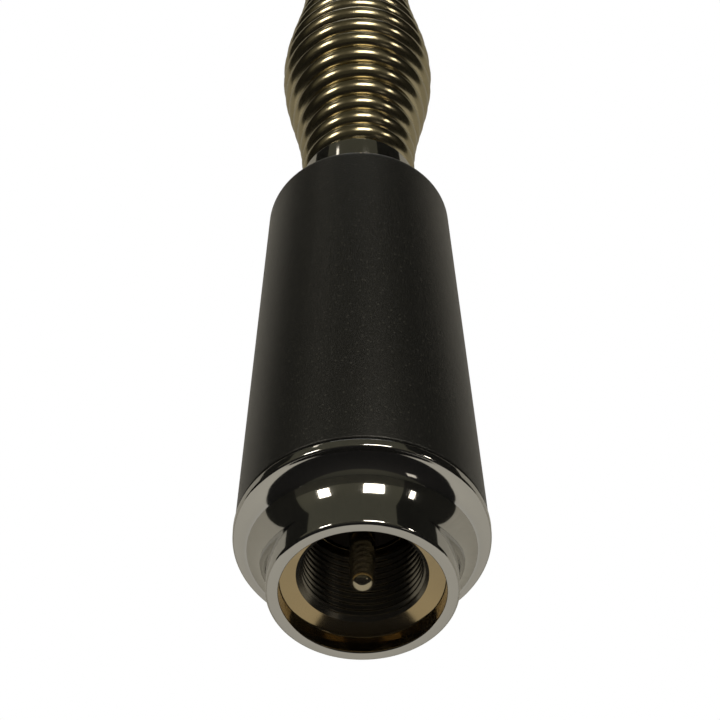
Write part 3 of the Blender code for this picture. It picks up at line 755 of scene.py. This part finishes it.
@dataclass
class CoilHousing:
    """The moulded sleeve, its gasket, and what it holds. Sizes are millimetres."""

    top_radius: float = 13.0
    shoulder: float = 1.7
    crown: float = 4.5
    wall: float = 2.6
    skirt_wall: float = 3.3
    skirt_height: float = 16.0
    hole_radius: float = 4.2
    edge: float = 0.35

    def build(self) -> list[Piece]:
        """Builds the sleeve and the gasket, and dresses the hidden pieces.

        Returns:
            The sleeve and the gasket.
        """
        for node, finish in (
            ("sleeve_seal", RUBBER),
            ("retaining_ring", ZINC),
            ("coil_former", FORMER),
            ("loading_coil", COPPER),
            ("lock_nut", ZINC),
            ("solder_tag", BRAID),
            ("crown_washer", ZINC),
        ):
            keep(node, finish)
        return [self._sleeve(), self._gasket()]

    def _sleeve(self) -> Piece:
        """The tapered sleeve, with soft edges above and below.

        Returns:
            The new object.
        """
        bottom, top = heights("coil_sleeve")
        bottom_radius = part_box("coil_sleeve")[1][0] / MM
        bore = bottom_radius - self.skirt_wall
        outline: Outline = [(self.hole_radius, top)]
        slope = (bottom_radius - self.top_radius) / (top - bottom)
        shoulder_radius = self.top_radius + slope * self.shoulder - self.shoulder
        outline += arc((shoulder_radius, top - self.shoulder), self.shoulder, 90, 0, steps=12)
        outline += arc((bottom_radius - self.edge, bottom + self.edge), self.edge, 0, -90, steps=6)
        outline += [
            (bore, bottom),
            (bore, bottom + self.skirt_height),
            (self.top_radius - self.wall, top - self.crown),
            (self.hole_radius, top - self.crown),
        ]
        piece = turned("sleeve", outline, SLEEVE, segments=160)
        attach(piece, "base")
        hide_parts("coil_sleeve")
        return piece

    def _gasket(self) -> Piece:
        """The rubber washer, squeezed round at its edge.

        Returns:
            The new object.
        """
        bottom, top = heights("crown_gasket")
        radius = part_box("crown_gasket")[1][0] / MM
        half = (top - bottom) / 2
        outline: Outline = [(self.hole_radius, top)]
        outline += arc((radius - half, bottom + half), half, 90, -90, steps=8)
        outline.append((self.hole_radius, bottom))
        piece = turned("gasket", outline, RUBBER, segments=96)
        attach(piece, "base")
        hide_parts("crown_gasket")
        return piece


@dataclass
class SpringSection:
    """The collar below the spring, the barrel spring and its braid. Sizes are millimetres."""

    collar_chamfer: float = 0.4
    edge_rounding: float = 0.3
    seat_gap: float = 0.3
    boss_radius: float = 4.7
    boss_chamfer: float = 0.6
    stud_radius: float = 3.9
    braid_hole: float = 1.9
    boss_length: float = 8.4
    pocket: float = 5.0
    wire_radius: float = 1.65
    turns: int = 16
    belly_power: float = 1.4
    points_per_turn: int = 56
    still_middle: float = 1.8
    braid_radius: float = 1.6
    braid_rows: int = 40

    def build(self) -> list[Piece]:
        """Builds the collar, both halves of the spring and both halves of the braid.

        Returns:
            The new objects.
        """
        pieces = [self._collar()]
        for upper in (False, True):
            pieces.append(self._half_spring(upper))
            pieces.append(self._half_braid(upper))
        return pieces

    @property
    def middle(self) -> float:
        """Height at which the lower half of the spring meets the upper one."""
        low, high = heights("barrel_spring")
        return (low + high) / 2

    def _bend(self, piece: Piece, upper: bool) -> None:
        """Bakes the half's placement into its mesh, the same way for either half.

        Args:
            piece: The half.
            upper: True for the upper half.
        """
        if upper:
            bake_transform(piece)
        else:
            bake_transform(piece)

    def _collar(self) -> Piece:
        """The chromed collar, with its stud below and its boss inside the spring.

        Returns:
            The new object.
        """
        bottom, boss_top = heights("spring_base")
        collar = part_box("spring_base")[1][0] / MM
        collar_top = boss_top - self.boss_length
        collar_bottom = heights("crown_gasket")[1] + self.seat_gap
        outline = soften(
            [
                (0.0, boss_top - self.pocket),
                (self.braid_hole, boss_top - self.pocket),
                (self.braid_hole, boss_top),
                (self.boss_radius - self.boss_chamfer, boss_top),
                (self.boss_radius, boss_top - self.boss_chamfer),
                (self.boss_radius, collar_top),
                (collar - self.collar_chamfer, collar_top),
                (collar, collar_top - self.collar_chamfer),
                (collar, collar_bottom + self.collar_chamfer),
                (collar - self.collar_chamfer, collar_bottom),
                (self.stud_radius, collar_bottom),
                (self.stud_radius, bottom),
                (0.0, bottom),
            ],
            self.edge_rounding,
        )
        piece = turned("collar", outline, CHROME, segments=128)
        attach(piece, "base")
        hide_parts("spring_base")
        return piece

    def _half_spring(self, upper: bool) -> Piece:
        """One half of the barrel spring, a single wire wound close.

        Args:
            upper: True for the upper half.

        Returns:
            The new object.
        """
        low, high = heights("barrel_spring")
        end_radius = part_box("spring_base")[1][0] / MM
        belly_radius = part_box("barrel_spring")[1][0] / MM
        steps = self.turns * self.points_per_turn
        stretch = (steps // 2, steps) if upper else (0, steps // 2)
        path = []
        for step in range(steps + 1):
            share = step / steps
            belly = math.cos(math.pi * (share - 0.5)) ** (2 * self.belly_power)
            radius = end_radius + (belly_radius - end_radius) * belly - self.wire_radius
            angle = math.tau * self.turns * share
            height = low + (high - low) * share
            path.append(Vector((radius * math.cos(angle), radius * math.sin(angle), height)))
        name = "spring_upper" if upper else "spring_lower"
        piece = wound(name, path, stretch, self.wire_radius, SPRING, (low, high))
        self._bend(piece, upper)
        if not upper:
            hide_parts("barrel_spring")
        return piece

    def _half_braid(self, upper: bool) -> Piece:
        """One half of the braid inside the spring.

        Args:
            upper: True for the upper half.

        Returns:
            The new object.
        """
        low, high = heights("shunt_braid")
        first, last = (self.middle, high) if upper else (low, self.middle)
        outline: Outline = [(0.0, last)]
        for row in range(self.braid_rows + 1):
            outline.append((self.braid_radius, last + (first - last) * row / self.braid_rows))
        outline.append((0.0, first))
        name = "braid_upper" if upper else "braid_lower"
        piece = turned(name, outline, BRAID, segments=32)
        self._bend(piece, upper)
        if not upper:
            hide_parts("shunt_braid")
        return piece


@dataclass
class WhipSection:
    """The holder with its two screws, the whip and its cap. Sizes are millimetres."""

    boss_length: float = 8.4
    boss_radius: float = 4.7
    boss_chamfer: float = 0.6
    collar_chamfer: float = 0.4
    edge_rounding: float = 0.3
    collar_height: float = 6.8
    taper: float = 8.0
    neck_radius: float = 5.0
    chamfer: float = 0.6
    bore_radius: float = 1.6
    braid_hole: float = 1.9
    pocket: float = 5.0
    screw_radius: float = 1.8
    screw_clearance: float = 0.3
    screw_chamfer: float = 0.35
    drill_segments: int = 48
    drill_past: float = 1.0
    socket_flats: float = 1.8
    socket_depth: float = 1.4
    screws: tuple[str, str] = ("grub_screw_1", "grub_screw_2")
    whip_top_radius: float = 0.8
    whip_rows: int = 24
    cap_wall: float = 0.6
    cap_gap: float = 0.3
    cap_socket: float = 5.0

    def build(self) -> list[Piece]:
        """Builds the holder, the screws, the whip and the cap.

        Returns:
            The new objects.
        """
        pieces = [self._holder()]
        pieces += [self._screw(node) for node in self.screws]
        pieces += [self._whip(), self._cap()]
        return pieces

    def _holder(self) -> Piece:
        """The turned holder, with its two screw holes cut through to the bore.

        Returns:
            The new object.
        """
        bottom, top = heights("whip_holder")
        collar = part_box("whip_holder")[1][0] / MM
        collar_bottom = bottom + self.boss_length
        shoulder = collar_bottom + self.collar_height
        outline = soften(
            [
                (0.0, shoulder),
                (self.bore_radius, shoulder),
                (self.bore_radius, top),
                (self.neck_radius - self.chamfer, top),
                (self.neck_radius, top - self.chamfer),
                (self.neck_radius, shoulder + self.taper),
                (collar, shoulder),
                (collar, collar_bottom + self.collar_chamfer),
                (collar - self.collar_chamfer, collar_bottom),
                (self.boss_radius, collar_bottom),
                (self.boss_radius, bottom + self.boss_chamfer),
                (self.boss_radius - self.boss_chamfer, bottom),
                (self.braid_hole, bottom),
                (self.braid_hole, bottom + self.pocket),
                (0.0, bottom + self.pocket),
            ],
            self.edge_rounding,
        )
        piece = turned("holder", outline, CHROME, segments=128)
        for node in self.screws:
            self._drill(piece, node)
        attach(piece, "holder")
        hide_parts("whip_holder")
        return piece

    def _drill(self, holder: Piece, node: str) -> None:
        """Cuts one screw hole from the bore out to +X, and leaves no cutter behind.

        Args:
            holder: The piece that is drilled.
            node: The screw whose place it takes.
        """
        low, high = heights(node)
        reach = (self.neck_radius + self.drill_past) * MM
        width = (self.screw_radius + self.screw_clearance) * MM
        shape = bmesh.new()
        bmesh.ops.create_cone(
            shape, cap_ends=True, segments=self.drill_segments, radius1=width, radius2=width, depth=reach
        )
        drill = add_to_scene(bpy.data.objects.new("drill", finished("drill", shape)))
        drill.matrix_world = Matrix.Translation((reach / 2, 0.0, (low + high) / 2 * MM)) @ LIE_DOWN
        cut = holder.modifiers.new("drill", "BOOLEAN")
        cut.solver = "EXACT"
        cut.object = drill
        bpy.context.view_layer.update()
        cut_holder = holder.evaluated_get(bpy.context.evaluated_depsgraph_get())
        drilled = bpy.data.meshes.new_from_object(cut_holder)
        holder.modifiers.clear()
        holder.data = drilled
        bpy.data.objects.remove(drill, do_unlink=True)

    def _screw(self, node: str) -> Piece:
        """A grub screw with a hexagon socket, lying along +X.

        Args:
            node: The CAD node that it stands for.

        Returns:
            The new object.
        """
        low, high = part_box(node)
        length = (high[0] - low[0]) / MM
        half_flat = self.socket_flats / 2

        def hexagon(radius: float, height: float, angle: float) -> float:
            """Draws the socket's walls as a hexagon, and leaves the rest round.

            Args:
                radius: The outline's radius.
                height: Its height, which changes nothing.
                angle: The angle round the screw.

            Returns:
                The radius at that angle.
            """
            if radius > half_flat:
                return radius
            return half_flat / math.cos((angle % (math.pi / 3)) - math.pi / 6)

        outline: Outline = [
            (0.0, length - self.socket_depth),
            (half_flat, length - self.socket_depth),
            (half_flat, length),
            (self.screw_radius - self.screw_chamfer, length),
            (self.screw_radius, length - self.screw_chamfer),
            (self.screw_radius, self.screw_chamfer),
            (self.screw_radius - self.screw_chamfer, 0.0),
            (0.0, 0.0),
        ]
        piece = turned(node.replace("grub_", "set_"), outline, ZINC, segments=72, radius_rule=hexagon)
        middle = (low[2] + high[2]) / 2
        piece.data.transform(Matrix.Translation((low[0], 0.0, middle)) @ LIE_DOWN)
        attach(piece, "holder")
        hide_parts(node)
        return piece

    def _whip(self) -> Piece:
        """The tapered rod.

        Returns:
            The new object.
        """
        bottom, top = heights("whip")
        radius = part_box("whip")[1][0] / MM
        outline: Outline = [(0.0, top)]
        for row in range(self.whip_rows + 1):
            share = row / self.whip_rows
            width = self.whip_top_radius + (radius - self.whip_top_radius) * share
            outline.append((width, top + (bottom + radius / 2 - top) * share))
        outline += [(radius / 2, bottom), (0.0, bottom)]
        piece = turned("rod", outline, STAINLESS, segments=40)
        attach(piece, "whip")
        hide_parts("whip")
        return piece

    def _cap(self) -> Piece:
        """The moulded cap on the end of the whip.

        Returns:
            The new object.
        """
        bottom, top = heights("whip_tip")
        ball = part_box("whip_tip")[1][0] / MM
        socket = self.whip_top_radius + self.cap_gap
        skirt = socket + self.cap_wall
        meeting = math.degrees(math.asin(skirt / ball)) - 90
        outline: Outline = [(0.0, top)]
        outline += arc((0.0, top - ball), ball, 90, meeting, steps=24)[1:]
        inside = bottom + self.cap_socket
        outline += [(skirt, bottom), (socket, bottom), (socket, inside), (0.0, inside)]
        piece = turned("cap", outline, CAP, segments=64)
        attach(piece, "whip")
        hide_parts("whip_tip")
        return piece


# Studio


@dataclass
class Lamp:
    """One soft lamp round the plug, with its width and height in degrees as the plug sees them.

    Azimuth 0 is the camera's side and grows to its right.
    """

    name: str
    azimuth: float
    elevation: float
    width: float
    height: float
    level: float
    distance: float = 0.8
    colour: str = "#FFF6E6"


@dataclass(frozen=True)
class Card:
    """One matt card, bent round the plug from one azimuth to another, that only reflections show."""

    name: str
    colour: str
    outline: tuple[tuple[float, float], ...]
    start: float
    end: float


# A card that stands on the floor and leans in above, as (radius, height) in metres
TALL_CARD = ((0.9, -0.33), (0.9, 1.2), (0.3, 1.7))


@dataclass
class Studio:
    """Floor, cards, lamps, world and camera.

    Lengths are metres and angles are degrees, but the camera's place, lens and sensor are millimetres.
    """

    floor_height: float = -0.33
    floor_colour: str = "#DDDAD1"
    floor_size: float = 8.0
    floor_fade: tuple[float, float] = (0.6, 2.6)
    floor_paleness: float = 0.65
    ambient: float = 0.65
    lens: float = 123.54
    sensor: float = 36.0
    camera_place: tuple[float, float, float] = (-2.667, -215.317, -215.622)
    camera_azimuth: float = 0.6995
    camera_elevation: float = 50.438
    camera_roll: float = 0.579
    card_columns: int = 32
    cloth_height: float = -0.32
    cloth_colour: str = "#111114"
    cloth_edge: tuple[tuple[float, float], ...] = (
        (-1.0, 0.11),
        (-0.3, 0.09),
        (-0.12, 0.12),
        (-0.04, 0.15),
        (0.03, 0.15),
        (0.1, 0.11),
        (0.26, 0.065),
        (1.0, 0.075),
        (1.0, -0.42),
        (-1.0, -0.42),
    )
    cards: tuple[Card, ...] = (
        Card("front_table", "#38382F", ((0.42, -0.325), (0.95, -0.325)), -60.0, 60.0),
        Card("front_left", "#1E1E1A", TALL_CARD, -101.0, -66.0),
        Card("front_low", "#424139", ((0.9, -0.33), (0.9, 0.0)), -66.0, 40.0),
        Card("front_high", "#646356", ((0.9, 0.0), (0.9, 1.2), (0.3, 1.7)), -66.0, 40.0),
        Card("front_right", "#1E1E1A", TALL_CARD, 40.0, 97.0),
        Card("back_paper", "#C0BDB4", TALL_CARD, 97.0, 259.0),
    )
    lamps: tuple[Lamp, ...] = (
        Lamp("lamp_left", -38.0, 12.7, 11.0, 19.0, 9.5),
        Lamp("lamp_middle", 11.5, 12.7, 19.5, 21.0, 9.5),
        Lamp("lamp_right", 50.0, 10.3, 4.5, 17.0, 9.5),
        Lamp("lamp_low", 49.0, -36.0, 7.5, 7.0, 0.9, distance=0.5),
        Lamp("lamp_above_left", -43.0, 56.7, 2.5, 12.0, 2.0, distance=0.456),
        Lamp("lamp_above_middle", 15.0, 57.7, 6.0, 4.0, 1.5, distance=0.456),
    )

    def build(self) -> None:
        """Builds the whole studio."""
        self._floor()
        self._cloth()
        for card in self.cards:
            self._card(card)
        for lamp in self.lamps:
            self._lamp(lamp)
        self._world()
        self._camera()
        bpy.context.scene.view_settings.view_transform = "Standard"

    def _matt(self, name: str, colour: str) -> bpy.types.Material:
        """A plain matt paint for the stage.

        Args:
            name: The material's name.
            colour: Its sRGB hex colour.

        Returns:
            The material.
        """
        made = bpy.data.materials.new(name)
        made.use_nodes = True
        shader = made.node_tree.nodes["Principled BSDF"]
        shader.inputs["Base Color"].default_value = linear(colour)
        shader.inputs["Roughness"].default_value = STAGE_ROUGHNESS
        return made

    def _floor(self) -> None:
        """A plain pale floor, below the camera, so that the photograph's view stays white."""
        half = self.floor_size / 2
        mesh = bpy.data.meshes.new("floor")
        corners = [(-half, -half, 0.0), (half, -half, 0.0), (half, half, 0.0), (-half, half, 0.0)]
        mesh.from_pydata(corners, [], [(0, 1, 2, 3)])
        floor = add_to_scene(bpy.data.objects.new("floor", mesh))
        floor.location.z = self.floor_height
        mesh.materials.append(self._floor_paper())

    def _floor_paper(self) -> bpy.types.Material:
        """Matt paper that turns white with distance where it is seen, and takes the shadow close by.

        Returns:
            The material.
        """
        made = self._matt("floor_paper", self.floor_colour)
        tree = made.node_tree
        node = partial(add_node, tree)
        place = node("TexCoord").outputs["Object"]
        away = node("VectorMath", {"operation": "LENGTH"}, {0: place}).outputs["Value"]
        near, far = self.floor_fade
        fade = node("MapRange", {"From Min": near, "From Max": far}, {"Value": away}).outputs["Result"]
        camera = node("LightPath").outputs["Is Camera Ray"]
        pale = node("Math", {"operation": "MULTIPLY", 1: self.floor_paleness}, {0: camera}).outputs[0]
        share = node("Math", {"operation": "MAXIMUM"}, {0: fade, 1: pale}).outputs[0]
        share = node("Math", {"operation": "MULTIPLY"}, {0: share, 1: self._seen(node)}).outputs[0]
        white = node("Emission", {"Color": linear("#FFFFFF"), "Strength": 1.0}).outputs[0]
        paper = tree.nodes["Principled BSDF"].outputs[0]
        mixed = node("MixShader", links={0: share, 1: paper, 2: white})
        tree.links.new(mixed.outputs[0], tree.nodes["Material Output"].inputs["Surface"])
        return made

    def _seen(self, node: NodeMaker) -> Socket:
        """Is 1 for what the camera sees, directly, mirrored or through glass.

        Args:
            node: Adds a node to the material's tree.

        Returns:
            The share.
        """
        path = node("LightPath")
        seen = path.outputs["Is Camera Ray"]
        for ray in ("Is Glossy Ray", "Is Transmission Ray"):
            seen = node("Math", {"operation": "MAXIMUM"}, {0: seen, 1: path.outputs[ray]}).outputs[0]
        return seen

    def _hang(self, mesh: bpy.types.Mesh, colour: str) -> None:
        """Adds a card or cloth that shows in reflections only.

        Args:
            mesh: Its mesh.
            colour: Its sRGB hex colour.
        """
        mesh.materials.append(self._matt(mesh.name, colour))
        hung = add_to_scene(bpy.data.objects.new(mesh.name, mesh))
        for ray in ("camera", "diffuse", "shadow", "transmission"):
            setattr(hung, "visible_" + ray, False)

    def _cloth(self) -> None:
        """The black cloth under the plug. Its edge is where the cove turns from dark to pale."""
        mesh = bpy.data.meshes.new("cloth")
        corners = [(x, y, self.cloth_height) for x, y in self.cloth_edge]
        mesh.from_pydata(corners, [], [tuple(range(len(corners)))])
        self._hang(mesh, self.cloth_colour)

    def _card(self, card: Card) -> None:
        """Bends one card round the plug.

        Args:
            card: Its colour, outline and spread.
        """
        shape = bmesh.new()
        lines = []
        for column in range(self.card_columns + 1):
            azimuth = math.radians(card.start + (card.end - card.start) * column / self.card_columns)
            line = []
            for radius, height in card.outline:
                place = (radius * math.sin(azimuth), -radius * math.cos(azimuth), height)
                line.append(shape.verts.new(place))
            lines.append(line)
        for left, right in zip(lines, lines[1:]):
            for row in range(len(card.outline) - 1):
                shape.faces.new((left[row], right[row], right[row + 1], left[row + 1]))
        bmesh.ops.remove_doubles(shape, verts=shape.verts, dist=SAME_CORNER)
        self._hang(finished(card.name, shape), card.colour)

    def _lamp(self, lamp: Lamp) -> None:
        """Hangs one soft lamp that faces the plug.

        Args:
            lamp: Its place, spread in degrees and level.
        """
        azimuth, rise = math.radians(lamp.azimuth), math.radians(lamp.elevation)
        flat = math.cos(rise)
        reach = Vector((math.sin(azimuth) * flat, -math.cos(azimuth) * flat, math.sin(rise)))
        light = bpy.data.lights.new(lamp.name, "AREA")
        light.shape = "RECTANGLE"
        light.size = 2 * lamp.distance * math.tan(math.radians(lamp.width / 2))
        light.size_y = 2 * lamp.distance * math.tan(math.radians(lamp.height / 2))
        light.energy = lamp.level * math.pi * light.size * light.size_y
        light.color = linear(lamp.colour)[:3]
        hung = add_to_scene(bpy.data.objects.new(lamp.name, light))
        hung.location = reach * lamp.distance
        hung.rotation_euler = (-reach).to_track_quat("-Z", "Y").to_euler()
        hung.visible_camera = False

    def _world(self) -> None:
        """A white background for what is seen, and an even light for the rest."""
        world = bpy.data.worlds.new("studio")
        bpy.context.scene.world = world
        world.use_nodes = True
        tree = world.node_tree
        tree.nodes.clear()
        node = partial(add_node, tree)
        even = node("Background", {"Color": linear("#F4F2EE"), "Strength": self.ambient}).outputs[0]
        white = node("Background", {"Color": linear("#FFFFFF"), "Strength": 1.0}).outputs[0]
        mixed = node("MixShader", links={0: self._seen(node), 1: even, 2: white})
        node("OutputWorld", links={"Surface": mixed.outputs[0]})

    def _camera(self) -> None:
        """The camera at the photograph's viewing angle, which looks up from below the plug."""
        data = bpy.data.cameras.new("camera")
        data.lens = self.lens
        data.sensor_width = self.sensor
        data.clip_start = 0.005
        camera = add_to_scene(bpy.data.objects.new("camera", data))
        turn = Matrix.Rotation(math.radians(-self.camera_azimuth), 4, "Z")
        tilt = Matrix.Rotation(math.radians(90 + self.camera_elevation), 4, "X")
        roll = Matrix.Rotation(math.radians(-self.camera_roll), 4, "Z")
        camera.matrix_world = Matrix.Translation(Vector(self.camera_place) * MM) @ turn @ tilt @ roll
        bpy.context.scene.camera = camera


def main() -> None:
    """Builds the studio and every sub-assembly, and reports each piece."""
    logging.basicConfig(level=logging.INFO, format="%(name)s: %(message)s")
    Studio().build()
    for section in (CoaxialPlug(), CoilHousing(), SpringSection(), WhipSection()):
        for piece in section.build():
            LOG.info("%s: %s, %d faces", type(section).__name__, piece.name, len(piece.data.polygons))


if __name__ == "__main__":
    main()
